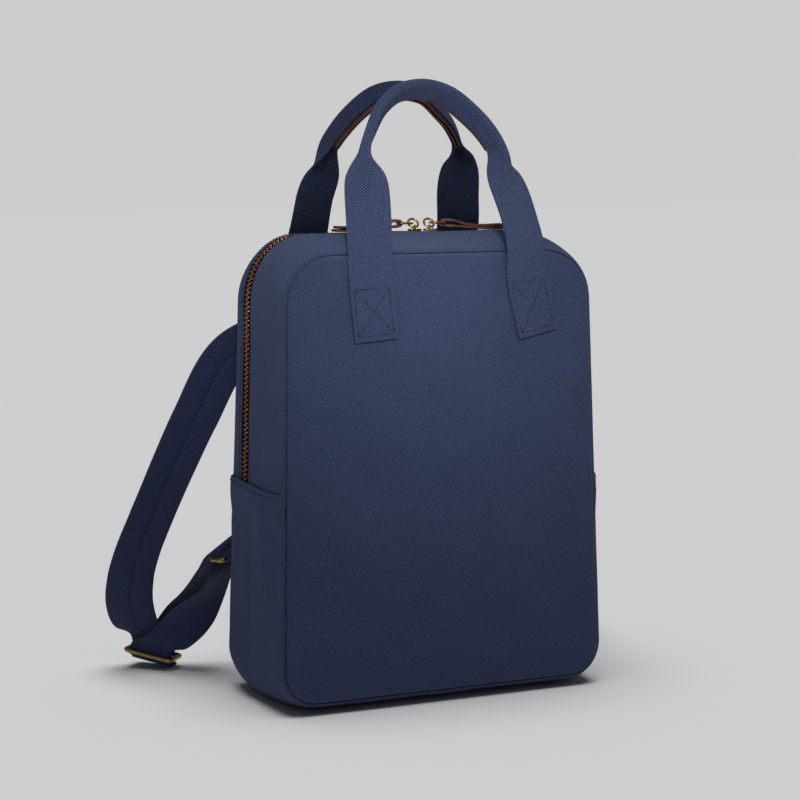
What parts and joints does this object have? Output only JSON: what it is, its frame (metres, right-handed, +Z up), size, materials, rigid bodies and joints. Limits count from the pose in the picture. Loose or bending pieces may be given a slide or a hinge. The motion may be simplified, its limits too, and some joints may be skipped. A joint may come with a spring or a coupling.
{
  "type": "convertible backpack",
  "caption": "Upright canvas tote backpack with a zipped top, folded webbing grab handles and adjustable shoulder straps.",
  "frame": {"origin": "on the floor under the middle of the bag's base", "axes": "+X to the right seen from the front, the front faces -Y, +Z up"},
  "size_m": [0.463, 0.2471, 0.52],
  "materials": {
    "canvas": "washed navy cotton canvas, matte",
    "handle_webbing": "thick navy cotton webbing, coarse weave",
    "strap_webbing": "dark navy herringbone webbing",
    "zip_tape": "rust brown zip tape",
    "leather": "brown vegetable-tanned leather, soft sheen",
    "brass": "antique brass, satin"
  },
  "bodies": {
    "root": {"front_panel": "canvas", "back_panel": "canvas", "front_zip_gusset": "canvas", "back_zip_gusset": "canvas", "base_gusset": "canvas", "front_zip_tape": "zip_tape", "back_zip_tape": "zip_tape", "zip_chain": "brass", "front_handle": "handle_webbing", "back_handle": "handle_webbing", "front_grip_lining": "leather", "back_grip_lining": "leather", "slider_left": "brass", "pull_ring_left": "brass", "pull_link_left": "brass", "pull_leather_left": "leather", "shoulder_strap_left": "strap_webbing", "lower_webbing_left": "strap_webbing", "tri_glide_left": "brass", "strap_ring_left": "brass", "ring_tab_left": "strap_webbing", "slider_right": "brass", "pull_ring_right": "brass", "pull_link_right": "brass", "pull_leather_right": "leather", "shoulder_strap_right": "strap_webbing", "lower_webbing_right": "strap_webbing", "tri_glide_right": "brass", "strap_ring_right": "brass", "ring_tab_right": "strap_webbing"}
  },
  "joints": []
}
